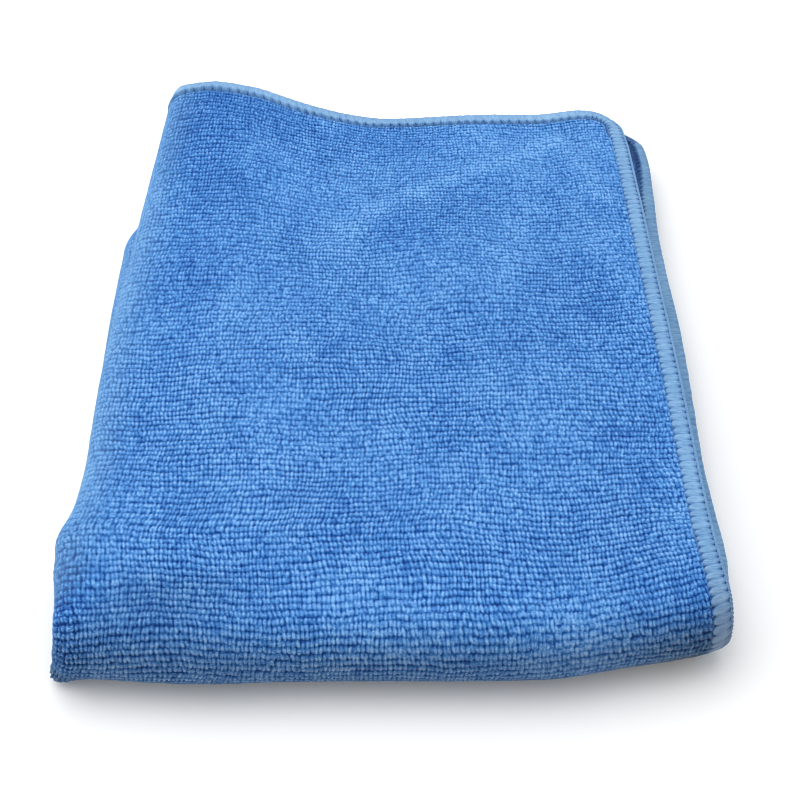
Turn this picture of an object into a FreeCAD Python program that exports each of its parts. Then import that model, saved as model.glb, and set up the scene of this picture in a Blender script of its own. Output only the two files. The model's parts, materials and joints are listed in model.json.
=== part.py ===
"""Terry polishing cloth, 300 x 400 mm, overlocked and folded in half twice, in millimetres.

The cloth is folded first along its left side crease and then along its front crease, so four
quarters lie on each other: top, upper_inner, lower_inner and bottom. +X runs to the open right
hem, +Y to the open back hem and +Z up. The origin is at the middle of the base.
"""

import FreeCAD, Part
import math
import os
import Sketcher

# name, value, note
DRIVING_DIMENSIONS = (
    ("folded_width", 156.0, "left crease to the right hem of the two inner quarters"),
    ("outer_shortfall", 4.5, "how far the top and bottom quarters stop short on the right"),
    ("folded_depth", 202.0, "front crease to the back hem of the upper half"),
    ("lower_setback", 6.0, "how far the lower half stops short at the back"),
    ("cloth_thickness", 4.4, "one layer with its loops, not pressed"),
    ("layer_pitch", 5.2, "height from one layer to the next"),
    ("corner_radius", 10.0, "rounded corners of the cloth"),
    ("hem_width", 5.2, "overlocked band"),
    ("thread_depth", 0.6, "looper threads lying on the cloth"),
    ("needle_width", 0.8, "needle thread along the inner line of the band"),
    ("fold_clearance", 0.6, "gap that lets the upper half turn past the lower half"),
)

# Expressions that several sub-parts share.
HALF_CREASE_OUT = "(dims.layer_pitch + dims.cloth_thickness) / 2"
HALF_CREASE_IN = "(dims.layer_pitch - dims.cloth_thickness) / 2"
STACK = "(3 * dims.layer_pitch + dims.cloth_thickness)"
ROLL_OUT = STACK + " / 2"
ROLL_IN = ROLL_OUT + " - dims.cloth_thickness"
HINGE_Y = "(" + ROLL_OUT + " - dims.folded_depth / 2)"
SIDE_AXIS_X = "(" + HALF_CREASE_OUT + " - dims.folded_width / 2)"
PANEL_WIDTH_INNER = "(dims.folded_width - " + HALF_CREASE_OUT + ")"
PANEL_WIDTH_OUTER = "(" + PANEL_WIDTH_INNER + " - dims.outer_shortfall)"
UPPER_REACH = "(dims.folded_depth - " + ROLL_OUT + " - dims.fold_clearance)"
LOWER_REACH = "(dims.folded_depth - " + ROLL_OUT + " - dims.lower_setback)"

NEEDLE_OUTER_INSET = "(dims.hem_width - dims.needle_width)"
TONGUE_DEPTH = "(dims.cloth_thickness - 2 * dims.thread_depth)"

# name, layer counted from the bottom, side its face lies on, in the upper half, full width
QUARTERS = (
    ("bottom", 0, "under", False, False),
    ("lower_inner", 1, "over", False, True),
    ("upper_inner", 2, "under", True, True),
    ("top", 3, "over", True, False),
)

document = FreeCAD.newDocument("folded_cloth")


def add_sheet():
    """The spreadsheet that drives every size."""
    sheet = document.addObject("Spreadsheet::Sheet", "dims")
    for row, (alias, value, note) in enumerate(DRIVING_DIMENSIONS, start=1):
        sheet.set(f"A{row}", alias)
        sheet.set(f"B{row}", str(value))
        sheet.set(f"C{row}", note)
        sheet.setAlias(f"B{row}", alias)
    document.recompute()
    return sheet


def new_body(label, x, y, z):
    """A body of its own, placed where the three expressions say."""
    body = document.addObject("PartDesign::Body", label)
    body.Label = label
    for axis, expression in zip("xyz", (x, y, z)):
        body.setExpression(f"Placement.Base.{axis}", expression)
    return body


def new_sketch(body, name, plane, offset=None):
    """An empty sketch on one of the body's own planes, raised along its normal by offset."""
    sketch = body.newObject("Sketcher::SketchObject", f"{body.Name}_{name}")
    origin_plane = next(f for f in body.Origin.OriginFeatures if f.Role == plane)
    sketch.AttachmentSupport = [(origin_plane, "")]
    sketch.MapMode = "FlatFace"
    if offset:
        sketch.setExpression("AttachmentOffset.Base.z", offset)
    return sketch


def value_of(expression):
    """The present value of an expression in millimetres."""
    result = document.dims.evalExpression(expression.replace("dims.", ""))
    return getattr(result, "Value", result)


def size(sketch, kind, refs, expression):
    """A dimension of the sketch that follows the expression."""
    index = sketch.addConstraint(Sketcher.Constraint(kind, *refs, value_of(expression)))
    sketch.setExpression(f"Constraints[{index}]", expression)


def constrain(sketch, kind, *sets):
    """The same kind of constraint on each set of references."""
    for refs in sets:
        sketch.addConstraint(Sketcher.Constraint(kind, *refs))


def line(sketch, start, end):
    """A straight edge."""
    segment = Part.LineSegment(FreeCAD.Vector(*start, 0), FreeCAD.Vector(*end, 0))
    return sketch.addGeometry(segment, False)


def arc(sketch, centre, radius, start_turn, end_turn):
    """An arc about centre, anticlockwise from start_turn to end_turn in parts of a full turn."""
    circle = Part.Circle(FreeCAD.Vector(*centre, 0), FreeCAD.Vector(0, 0, 1), radius)
    start, end = start_turn * 2 * math.pi, end_turn * 2 * math.pi
    return sketch.addGeometry(Part.ArcOfCircle(circle, start, end), False)


def panel_sketch(body, name, z, width, length, inset):
    """A rectangle from the local origin with its far right corner rounded, inset on two sides."""
    sketch = new_sketch(body, name, "XY_Plane", z)
    wide = value_of(f"{width} - {inset}")
    long = value_of(f"{length} - {inset}")
    radius = value_of(f"dims.corner_radius - {inset}")
    line(sketch, (0, 0), (wide, 0))
    line(sketch, (wide, 0), (wide, long - radius))
    arc(sketch, (wide - radius, long - radius), radius, 0, 0.25)
    line(sketch, (wide - radius, long), (0, long))
    line(sketch, (0, long), (0, 0))
    constrain(sketch, "Coincident", (0, 1, -1, 1), (0, 2, 1, 1), (3, 2, 4, 1), (4, 2, 0, 1))
    constrain(sketch, "Tangent", (1, 2, 2, 1), (2, 2, 3, 1))
    constrain(sketch, "Horizontal", (0,), (3,))
    constrain(sketch, "Vertical", (1,), (4,))
    size(sketch, "DistanceX", (-1, 1, 0, 2), f"{width} - {inset}")
    size(sketch, "DistanceY", (-1, 1, 3, 1), f"{length} - {inset}")
    size(sketch, "Radius", (2,), f"dims.corner_radius - {inset}")
    return sketch


def band_sketch(body, name, z, width, length, outer_inset, inner_inset):
    """The strip along the right side, round the corner and along the back, between two insets."""
    sketch = new_sketch(body, name, "XY_Plane", z)
    wide, long = value_of(width), value_of(length)
    near, far = value_of(outer_inset), value_of(inner_inset)
    radius = value_of("dims.corner_radius")
    centre = (wide - radius, long - radius)
    line(sketch, (wide - far, 0), (wide - near, 0))
    line(sketch, (wide - near, 0), (wide - near, centre[1]))
    arc(sketch, centre, radius - near, 0, 0.25)
    line(sketch, (centre[0], long - near), (0, long - near))
    line(sketch, (0, long - near), (0, long - far))
    line(sketch, (0, long - far), (centre[0], long - far))
    arc(sketch, centre, radius - far, 0, 0.25)
    line(sketch, (wide - far, centre[1]), (wide - far, 0))
    constrain(sketch, "Coincident", (0, 2, 1, 1), (3, 2, 4, 1), (4, 2, 5, 1), (7, 2, 0, 1),
              (2, 3, 6, 3))
    constrain(sketch, "Tangent", (1, 2, 2, 1), (2, 2, 3, 1), (5, 2, 6, 2), (6, 1, 7, 1))
    constrain(sketch, "Horizontal", (0,), (3,), (5,))
    constrain(sketch, "Vertical", (1,), (4,), (7,))
    constrain(sketch, "PointOnObject", (0, 1, -1), (4, 1, -2))
    size(sketch, "DistanceX", (-1, 1, 0, 2), f"{width} - {outer_inset}")
    size(sketch, "DistanceY", (-1, 1, 4, 1), f"{length} - {outer_inset}")
    size(sketch, "Radius", (2,), f"dims.corner_radius - {outer_inset}")
    size(sketch, "Radius", (6,), f"dims.corner_radius - {inner_inset}")
    return sketch


def half_ring_sketch(body, name, plane, inner, outer, run=None, height=None):
    """Half a ring on the side of negative first axis, its centre raised by height."""
    sketch = new_sketch(body, name, plane, run)
    small, large = value_of(inner), value_of(outer)
    rise = value_of(height) if height else 0.0
    arc(sketch, (0, rise), large, 0.25, 0.75)
    arc(sketch, (0, rise), small, 0.25, 0.75)
    line(sketch, (0, rise + large), (0, rise + small))
    line(sketch, (0, rise - large), (0, rise - small))
    constrain(sketch, "Coincident", (0, 1, 2, 1), (1, 1, 2, 2), (0, 2, 3, 1), (1, 2, 3, 2),
              (0, 3, 1, 3))
    if height:
        constrain(sketch, "PointOnObject", (0, 3, -2))
        size(sketch, "DistanceY", (-1, 1, 0, 3), height)
    else:
        constrain(sketch, "Coincident", (0, 3, -1, 1))
    constrain(sketch, "PointOnObject", (0, 1, -2), (1, 1, -2), (0, 2, -2), (1, 2, -2))
    size(sketch, "Radius", (0,), outer)
    size(sketch, "Radius", (1,), inner)
    return sketch


def pad(body, sketch, length, reverse=False):
    """The sketch grown into a solid along its normal, or against it."""
    feature = body.newObject("PartDesign::Pad", f"{sketch.Name}_pad")
    feature.Profile = sketch
    feature.setExpression("Length", length)
    feature.Reversed = reverse
    sketch.Visibility = False
    return feature


def quarter(name, layer, upper, full_width):
    """One flat quarter of the cloth, thinner along its hem where the threads grip it."""
    width = PANEL_WIDTH_INNER if full_width else PANEL_WIDTH_OUTER
    length = UPPER_REACH if upper else LOWER_REACH
    start = HINGE_Y + (" + dims.fold_clearance" if upper else "")
    body = new_body(f"quarter_{name}", SIDE_AXIS_X, start, f"{layer} * dims.layer_pitch")
    core = panel_sketch(body, "core", None, width, length, "dims.hem_width")
    pad(body, core, "dims.cloth_thickness")
    tongue = panel_sketch(body, "tongue", "dims.thread_depth", width, length, "dims.thread_depth")
    pad(body, tongue, TONGUE_DEPTH)
    return body


def quarter_thread(kind, name, layer, side, upper, full_width):
    """A looper thread's band along two sides of a quarter, with its lip over half the edge."""
    width = PANEL_WIDTH_INNER if full_width else PANEL_WIDTH_OUTER
    length = UPPER_REACH if upper else LOWER_REACH
    start = HINGE_Y + (" + dims.fold_clearance" if upper else "")
    body = new_body(f"{kind}_{name}", SIDE_AXIS_X, start, f"{layer} * dims.layer_pitch")
    flange_z = "dims.cloth_thickness - dims.thread_depth" if side == "over" else None
    lip_z = "dims.cloth_thickness / 2" if side == "over" else None
    if kind == "needle_thread":
        bead = band_sketch(body, "bead", flange_z, width, length, NEEDLE_OUTER_INSET, "dims.hem_width")
        pad(body, bead, "dims.thread_depth")
        return body
    inner = NEEDLE_OUTER_INSET if kind == "face_looper" else "dims.hem_width"
    lip = band_sketch(body, "lip", lip_z, width, length, "0", "dims.thread_depth")
    pad(body, lip, "dims.cloth_thickness / 2")
    flange = band_sketch(body, "flange", flange_z, width, length, "0", inner)
    pad(body, flange, "dims.thread_depth")
    return body


def crease_bands(inner, outer, face_outside):
    """Ring radii of the cloth's tongue and of each thread on a crease's hemmed end."""
    inside = (inner, f"{inner} + dims.thread_depth")
    outside = (f"{outer} - dims.thread_depth", outer)
    middle = f"({inner} + {outer}) / 2"
    face, back = (outside, inside) if face_outside else (inside, outside)
    lips = {True: (middle, outer), False: (inner, middle)}
    return {
        "tongue": (inside[1], outside[0]),
        "face": face,
        "back": back,
        "face_lip": lips[face_outside],
        "back_lip": lips[not face_outside],
    }


def ring_run(body, name, plane, radii, start, end):
    """A half ring that runs from start to end along the positive direction of its plane's axis."""
    against = plane == "XZ_Plane"
    offset = f"-({start})" if against else start
    sketch = half_ring_sketch(body, name, plane, radii[0], radii[1], run=offset)
    pad(body, sketch, f"({end}) - ({start})", reverse=against)


def crease(name, place, plane, inner, outer, reach, face_outside):
    """A half tube of cloth, with the three threads of the hem on its far end."""
    bands = crease_bands(inner, outer, face_outside)
    hem_start = f"{reach} - dims.hem_width"
    needle_end = f"{hem_start} + dims.needle_width"
    edge = f"{reach} - dims.thread_depth"
    cloth = new_body(name, *place)
    ring_run(cloth, "core", plane, (inner, outer), "0", hem_start)
    ring_run(cloth, "tongue", plane, bands["tongue"], hem_start, edge)
    face = new_body(f"face_looper_{name}", *place)
    ring_run(face, "flange", plane, bands["face"], needle_end, reach)
    ring_run(face, "lip", plane, bands["face_lip"], edge, reach)
    back = new_body(f"back_looper_{name}", *place)
    ring_run(back, "flange", plane, bands["back"], hem_start, reach)
    ring_run(back, "lip", plane, bands["back_lip"], edge, reach)
    needle = new_body(f"needle_thread_{name}", *place)
    ring_run(needle, "bead", plane, bands["face"], hem_start, needle_end)
    return [cloth, face, back, needle]


def side_creases():
    """The left crease of each half, which joins its two quarters."""
    upper_place = (SIDE_AXIS_X, f"{HINGE_Y} + dims.fold_clearance",
                   "2.5 * dims.layer_pitch + dims.cloth_thickness / 2")
    lower_place = (SIDE_AXIS_X, HINGE_Y, "0.5 * dims.layer_pitch + dims.cloth_thickness / 2")
    radii = (HALF_CREASE_IN, HALF_CREASE_OUT)
    upper = crease("side_crease_upper", upper_place, "XZ_Plane", *radii, UPPER_REACH, True)
    lower = crease("side_crease_lower", lower_place, "XZ_Plane", *radii, LOWER_REACH, True)
    return upper + lower


def front_creases():
    """The outer roll from the top to the bottom quarter, and the inner roll nested in it."""
    place = (SIDE_AXIS_X, HINGE_Y, ROLL_OUT)
    outer = crease("front_crease_outer", place, "YZ_Plane", ROLL_IN, ROLL_OUT,
                   PANEL_WIDTH_OUTER, True)
    inner = crease("front_crease_inner", place, "YZ_Plane", HALF_CREASE_IN, HALF_CREASE_OUT,
                   PANEL_WIDTH_INNER, False)
    return outer + inner


def corner_fold():
    """The doubly folded corner, where the side crease goes round the front roll."""
    body = new_body("corner_fold", SIDE_AXIS_X, HINGE_Y, ROLL_OUT)
    sketch = half_ring_sketch(body, "section", "XZ_Plane", HALF_CREASE_IN, HALF_CREASE_OUT,
                              height="dims.layer_pitch")
    turn = body.newObject("PartDesign::Revolution", "corner_fold_turn")
    turn.Profile = sketch
    turn.ReferenceAxis = (sketch, ["H_Axis"])
    turn.Angle = 180.0
    sketch.Visibility = False
    return body


def build():
    """Every sub-part of the cloth."""
    parts = []
    for name, layer, side, upper, full_width in QUARTERS:
        parts.append(quarter(name, layer, upper, full_width))
        other = "under" if side == "over" else "over"
        for kind, at in (("face_looper", side), ("back_looper", other), ("needle_thread", side)):
            parts.append(quarter_thread(kind, name, layer, at, upper, full_width))
    parts += side_creases()
    parts += front_creases()
    parts.append(corner_fold())
    document.recompute()
    return parts


def check(parts):
    """Stops if any object failed or any sub-part isn't one valid solid."""
    for item in document.Objects:
        if {"Invalid", "Error"} & set(item.State):
            raise RuntimeError(f"{item.Label} is {item.State}")
    for part in parts:
        shape = part.Shape
        if shape.isNull() or not shape.isValid() or len(shape.Solids) != 1:
            raise RuntimeError(f"{part.Label} isn't one valid solid")


def export(parts):
    """One STEP file for each sub-part, with the name of its label."""
    os.makedirs("parts", exist_ok=True)
    for part in parts:
        part.Shape.exportStep(f"parts/{part.Label}.step")
        box = part.Shape.BoundBox
        print(f"{part.Label:34s} {part.Shape.Volume:10.1f} mm3  "
              f"x {box.XMin:7.2f} {box.XMax:7.2f}  y {box.YMin:7.2f} {box.YMax:7.2f}  "
              f"z {box.ZMin:6.2f} {box.ZMax:6.2f}")


add_sheet()
subparts = build()
check(subparts)
export(subparts)
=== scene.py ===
"""Looks of the folded terry polishing cloth: loop pile, overlocked hem and soft folds.

Lengths are in millimetres until a mesh is written. A point of the cloth is named by p, the way
along its folded section (0 at the side crease, positive on the top and bottom quarters, negative
on the two inner ones), q, the way over the front roll (0 at its front, positive on the upper
half), and n, the height off the middle of the cloth towards its face.
"""

import json
import math
import bpy
import numpy as np
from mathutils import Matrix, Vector


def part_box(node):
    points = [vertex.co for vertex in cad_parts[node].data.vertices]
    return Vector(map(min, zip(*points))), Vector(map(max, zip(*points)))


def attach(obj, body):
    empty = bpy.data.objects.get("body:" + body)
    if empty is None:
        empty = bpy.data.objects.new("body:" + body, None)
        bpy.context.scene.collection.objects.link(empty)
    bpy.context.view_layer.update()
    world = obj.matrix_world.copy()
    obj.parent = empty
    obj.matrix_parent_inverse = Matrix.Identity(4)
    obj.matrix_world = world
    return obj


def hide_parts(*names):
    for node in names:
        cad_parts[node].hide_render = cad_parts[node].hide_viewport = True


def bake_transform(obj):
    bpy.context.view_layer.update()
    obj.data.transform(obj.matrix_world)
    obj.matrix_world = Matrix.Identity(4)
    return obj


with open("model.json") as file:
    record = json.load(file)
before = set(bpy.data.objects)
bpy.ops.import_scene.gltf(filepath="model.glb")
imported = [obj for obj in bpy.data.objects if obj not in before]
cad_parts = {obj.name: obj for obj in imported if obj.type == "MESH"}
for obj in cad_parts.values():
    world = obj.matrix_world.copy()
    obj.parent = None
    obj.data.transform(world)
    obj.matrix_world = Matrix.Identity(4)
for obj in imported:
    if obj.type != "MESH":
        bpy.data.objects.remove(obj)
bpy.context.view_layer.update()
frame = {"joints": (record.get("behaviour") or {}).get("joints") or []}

MM = 0.001


def box_mm(node):
    """Lowest and highest corner of a CAD node in millimetres."""
    low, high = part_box(node)
    return np.array(low) / MM, np.array(high) / MM


# ------------ sizes from the CAD frame
TOP_LOW, TOP_HIGH = box_mm("quarter_top")
OUTER_EDGE_X = box_mm("face_looper_top")[1][0]
INNER_EDGE_X = box_mm("face_looper_upper_inner")[1][0]
CREASE_X = box_mm("side_crease_upper")[0][0]
SIDE_AXIS_X = TOP_LOW[0]
HINGE_Y, HINGE_Z = np.array(frame["joints"][0]["pos_m"])[1:] / MM
STACK = TOP_HIGH[2]
LAYER_PITCH = TOP_LOW[2] - box_mm("quarter_upper_inner")[0][2]
BACK_Y = box_mm("face_looper_top")[1][1]
FRONT_Y = box_mm("front_crease_outer")[0][1]
UPPER_LENGTH = BACK_Y - HINGE_Y
LOWER_LENGTH = box_mm("face_looper_bottom")[1][1] - HINGE_Y

MID_RADIUS = LAYER_PITCH / 2
HALF_BEND = MID_RADIUS * math.pi / 2
ROLL_RADIUS = STACK / 2
HALF_ROLL = ROLL_RADIUS * math.pi / 2
OUTER_P = HALF_BEND + OUTER_EDGE_X - SIDE_AXIS_X
INNER_P = HALF_BEND + INNER_EDGE_X - SIDE_AXIS_X

# ------------ sizes of the hem, loops and grids
CORNER_RADIUS = 10.0
HEM_WIDTH = 5.2  # of the face looper's band
BACK_HEM_WIDTH = 4.0  # of the back looper's band
HEM_RISE = 1.45  # height of the band off mid-cloth
HEM_SWELL = 0.42  # how much higher it is at its inner line
BAND_DEPTH = 0.62  # from the band's plain surface to its hidden skin
EDGE_RADIUS = 1.45
CLOTH_INSET = 1.0  # how far the cloth ends inside the hem's outer edge
SIDE_STITCH = 2.2  # stitch pitch on the sides
BACK_STITCH = 2.85  # stitch pitch along the back
INNER_ROLL_STITCHES = 4
STRAND_SIDES = 7
LOCK_RADIUS, NEEDLE_RADIUS = 0.24, 0.16

ROW_PITCH = 1.66
LOOP_PITCH = 0.98
LOOP_HEIGHT = 0.70
LOOP_BASE = 1.64  # height of the ground between the loops off mid-cloth
GROUND_AT_HEM = 0.75  # the same under the hem's band

COARSE = 1.0
FINE_P, FINE_Q = 0.20 * COARSE, 0.27 * COARSE
BEND_STEP = 0.15 * COARSE
PLAIN_STEP, PLAIN_Q = 0.5 * COARSE, 0.45 * COARSE
STITCH_STEP = 0.22 * COARSE
BAND_STEP, BAND_ANGLE = 0.28 * COARSE, 9 * COARSE
HIDDEN_STEP, HIDDEN_BEND_STEP = 4.0, 0.8
FINE_RUN = 6.0  # how far the fine grid runs on past the side crease
NEAR_HEM = 16.0  # how far in from the hem the hidden side's grid is close
ROLL_MARGIN = 1.0  # how far the front roll's pieces reach past the roll


# ------------ small numeric helpers
def ease(value, start, end):
    """0 before start, 1 after end and smooth between."""
    t = np.clip((value - start) / (end - start), 0, 1)
    return t * t * (3 - 2 * t)


def curve(t, knots):
    """A smooth curve through a few (place, height) knots."""
    xs, ys = np.array(knots, float).T
    slopes = np.gradient(ys, xs)
    t = np.clip(t, xs[0], xs[-1])
    i = np.clip(np.searchsorted(xs, t) - 1, 0, len(xs) - 2)
    width = xs[i + 1] - xs[i]
    u = (t - xs[i]) / width
    return ((1 + 2 * u) * (1 - u) ** 2 * ys[i] + u * (1 - u) ** 2 * width * slopes[i]
            + u * u * (3 - 2 * u) * ys[i + 1] + u * u * (u - 1) * width * slopes[i + 1])


def waves(x, y, scale, seed, count=7):
    """Smooth seeded noise of about unit height, with features of about that scale."""
    rng = np.random.default_rng(seed)
    total = np.zeros(np.broadcast(x, y).shape)
    for angle, phase, stretch in rng.random((count, 3)):
        k = 2 * math.pi / (scale * (0.7 + 0.9 * stretch))
        turn = 2 * math.pi * angle
        total += np.sin(k * (x * math.cos(turn) + y * math.sin(turn)) + 2 * math.pi * phase)
    return total / math.sqrt(count / 2)


def hill(x, y, centre, spread):
    """A soft rise of unit height with its own spread each way."""
    along = (x - centre[0]) / spread[0]
    across = (y - centre[1]) / spread[1]
    return np.exp(-along ** 2 - across ** 2)


def add_hills(level, x, y, hills):
    """The level with a hill added for each (height, centre, spread)."""
    for height, centre, spread in hills:
        level = level + height * hill(x, y, centre, spread)
    return level


def add_waves(level, x, y, kinds, seed=0):
    """The level with waves added for each (height, scale, seed), with the seeds counted from seed."""
    for height, scale, own_seed in kinds:
        level = level + height * waves(x, y, scale, seed + own_seed)
    return level


# ------------ how the folded cloth lies
# How far right of its place in the CAD each side edge lies, at places along y.
CREASE_DRIFT_UPPER = ((-101, 6.6), (-88, 5.8), (-78, 4.5), (-70, 3.1), (-64, 4.3), (-50, 5.3),
                      (-38, 4.6), (-22, 3.8), (30, 4.3), (50, 4.9), (70, 5.9), (104, 8.0))
CREASE_DRIFT_LOWER = ((-101, 4.6), (-94, 5.2), (-88, 4.0), (-80, 2.2), (-66, -0.2), (-52, 1.3),
                      (-34, 1.7), (5, -0.3), (22, -1.0), (38, -1.2), (47, -1.0), (53, 1.4),
                      (60, 5.0), (104, 8.0))
HEM_DRIFT_OUTER = ((-101, -0.3), (-92, -0.9), (-80, -1.2), (-25, 0.3), (45, 1.5), (104, 2.2))
HEM_DRIFT_INNER = ((-101, -3.8), (-88, -3.4), (-78, -2.4), (-60, -2.0), (-48, -1.9), (-25, -0.5),
                   (5, 1.1), (30, 1.4), (45, 2.0), (60, 3.5), (85, 5.3), (104, 4.2))
# How far back of their places the back hem and the front roll lie, at places along x.
BACK_DRIFT = ((-78, 2.0), (-74, 4.5), (-69, 6.7), (-63, 8.7), (-55, 8.9), (-47, 8.1), (-40, 5.8),
              (-32, 3.0), (-25, 0.9), (-17, -1.0), (-10, -2.1), (0, -1.7), (10, -0.9), (20, -0.2),
              (30, -0.9), (45, -2.5), (60, -1.0), (78, -1.0))
FRONT_DRIFT = ((-78, 2.4), (-68, 1.4), (-45, -0.1), (-25, 0.2), (-5, 0.1), (12, -0.1), (25, -0.1),
               (35, 0.3), (48, 2.3), (64, 4.8), (76, 7.5))
# A soft crease that runs across the back right of the top layer and turns down at its end.
SOFT_CREASES = (((-17, 31), (-11, 44), (-4, 51), (16, 63), (38, 77), (50, 83)),
                ((50, 83), (56, 69), (62, 52)))
SOFT_CREASE_HEIGHT = 0.50
SOFT_CREASE_WIDTHS = (5.0, 4.0)

# Rises and hollows of the top of the stack: height, centre and spread.
SETTLE_HILLS = (
    (6.6, (-72, 104), (30, 38)),  # the raised back left corner
    (-2.7, (6, 108), (44, 44)),  # the hollow beside it
    (0.9, (-70, -62), (14, 26)),
    (-0.8, (-62, 20), (9, 60)),
    (0.5, (-30, -20), (24, 40)),
    (-1.5, (-70, -92), (30, 12)),  # the front left corner, pressed down
)
# A bulge and a dip in front of the soft crease's end.
BY_CREASE_HILLS = ((0.4, (58, 30), (7, 5)), (-0.4, (55, 6), (9, 12)))
SETTLE_WAVES = ((0.14, 46, 11), (0.05, 17, 12))
SAG = -1.5  # of the whole top behind the front roll
SAG_Y = (-82, -40)

# Spans over which a shift of the cloth fades in, as (start, end) along x, y or z.
ROLL_Y = (-98, -86)  # where the halves' own drifts part behind the front roll
BACK_PULL_Y = (-30, BACK_Y)
FRONT_PULL_Y = (FRONT_Y + 4, HINGE_Y + 30)
LEVEL_HINGE_Y = (HINGE_Y + 4, HINGE_Y + 34)
CORNER_X, CORNER_Y = (57, 76), (76, 102)
EDGE_X, EDGE_FRONT_Y, EDGE_BACK_Y = (56, 76), (-86, -60), (30, 92)
EAR_Z = (1.5, 6)
EAR_PLACE, EAR_SPREAD = (-78, -97), (6, 6)

# How much each shift moves the cloth, in millimetres or as a share.
SPLIT_SOFT, SPLIT_SOFT_AT_ROLL = 0.5, 4.0  # half the height that mixes two halves' drifts
CREASE_SOFT = 4  # half the width that mixes the outer and inner drifts, along p
BACK_PULL_LEAST = 0.3  # share of the back drift that the lowest layer has
EDGE_DROOP_LEAST = 0.3  # share of the right edge's droop that all but its back has
TALLEST = 1.2  # greatest share of the stack's height, for raised loops
CORNER_IN_OUTER, CORNER_IN_INNER, CORNER_NARROW = 3.6, 3.0, 1.2
EDGE_LIFT, EDGE_DROP_LOWER, EDGE_DROP_UPPER = 0.4, 1.0, 1.2
EAR_OUT, EAR_FORWARD = 3.4, 3.0
FLOOR_GAP = 0.03


def near_line(x, y, line, width):
    """1 on a line through points and falling to 0 within about two widths of it."""
    nearest = np.full(np.broadcast(x, y).shape, 1e9)
    for (ax, ay), (bx, by) in zip(line[:-1], line[1:]):
        dx, dy = bx - ax, by - ay
        t = np.clip(((x - ax) * dx + (y - ay) * dy) / (dx * dx + dy * dy), 0, 1)
        nearest = np.minimum(nearest, (x - ax - t * dx) ** 2 + (y - ay - t * dy) ** 2)
    return np.exp(-nearest / width ** 2)


def settle(x, y):
    """How far the top of the folded stack lies above its height in the CAD."""
    level = add_hills(SAG * ease(y, *SAG_Y), x, y, SETTLE_HILLS)
    for line, width in zip(SOFT_CREASES, SOFT_CREASE_WIDTHS):
        level = level + SOFT_CREASE_HEIGHT * near_line(x, y, line, width)
    level = add_hills(level, x, y, BY_CREASE_HILLS)
    return add_waves(level, x, y, SETTLE_WAVES)


def warp(x, y, z, p):
    """The real, slightly slack lie of the cloth, from its neat place in the CAD."""
    soft = SPLIT_SOFT + SPLIT_SOFT_AT_ROLL * (1 - ease(y, *ROLL_Y))
    upper = ease(z, HINGE_Z - soft, HINGE_Z + soft)
    outer = ease(p, -CREASE_SOFT, CREASE_SOFT)
    left = curve(y, CREASE_DRIFT_UPPER) * upper + curve(y, CREASE_DRIFT_LOWER) * (1 - upper)
    right = curve(y, HEM_DRIFT_OUTER) * outer + curve(y, HEM_DRIFT_INNER) * (1 - outer)
    share = np.clip((x - CREASE_X) / (INNER_EDGE_X - CREASE_X), 0, 1)
    new_x = x + left * (1 - share) + right * share

    # By the hinge nothing up to its height rises or sinks, so the halves still meet when open.
    by_hinge = 1 - ease(y, *LEVEL_HINGE_Y)
    height = np.clip(z / STACK, 0, TALLEST)
    height = height + (np.maximum(z / HINGE_Z - 1, 0) - height) * by_hinge
    back = ease(y, *BACK_PULL_Y) * (BACK_PULL_LEAST + (1 - BACK_PULL_LEAST) * height)
    front = 1 - ease(y, *FRONT_PULL_Y)
    new_y = y + curve(x, BACK_DRIFT) * back + curve(x, FRONT_DRIFT) * front
    new_z = z + settle(x, y) * height

    # The back right corner is drawn in, and the inner layers droop along the right edge.
    corner = ease(x, *CORNER_X) * ease(y, *CORNER_Y) * upper
    new_y = new_y - corner * (CORNER_IN_OUTER * outer + CORNER_IN_INNER * (1 - outer))
    new_x = new_x - CORNER_NARROW * corner * outer
    droop = EDGE_DROOP_LEAST + (1 - EDGE_DROOP_LEAST) * ease(y, *EDGE_BACK_Y)
    edge = ease(x, *EDGE_X) * droop * ease(y, *EDGE_FRONT_Y)
    drop = (EDGE_DROP_LOWER + EDGE_DROP_UPPER * upper) * edge * (1 - outer)
    new_z = new_z + EDGE_LIFT * edge * outer * upper - drop

    # The front left corner of the lowest layer is pushed out.
    ear = hill(x, y, EAR_PLACE, EAR_SPREAD) * (1 - ease(z, *EAR_Z))
    return new_x - EAR_OUT * ear, new_y - EAR_FORWARD * ear, np.maximum(new_z, FLOOR_GAP)


def place(p, q, n):
    """Where the point (p, q, n) of the cloth lies, as an array of positions in metres."""
    p, q, n = np.broadcast_arrays(p, q, n)
    bend = np.clip(p, -HALF_BEND, HALF_BEND) / MID_RADIUS
    x = SIDE_AXIS_X - (MID_RADIUS + n) * np.cos(bend) + np.maximum(np.abs(p) - HALF_BEND, 0)
    reach = LAYER_PITCH + (MID_RADIUS + n) * np.sin(bend)
    turn = np.clip(q, -HALF_ROLL, HALF_ROLL) / ROLL_RADIUS
    y = HINGE_Y - reach * np.cos(turn) + np.maximum(np.abs(q) - HALF_ROLL, 0)
    z = HINGE_Z + reach * np.sin(turn)
    return np.stack(warp(x, y, z, p), -1) * MM


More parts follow.
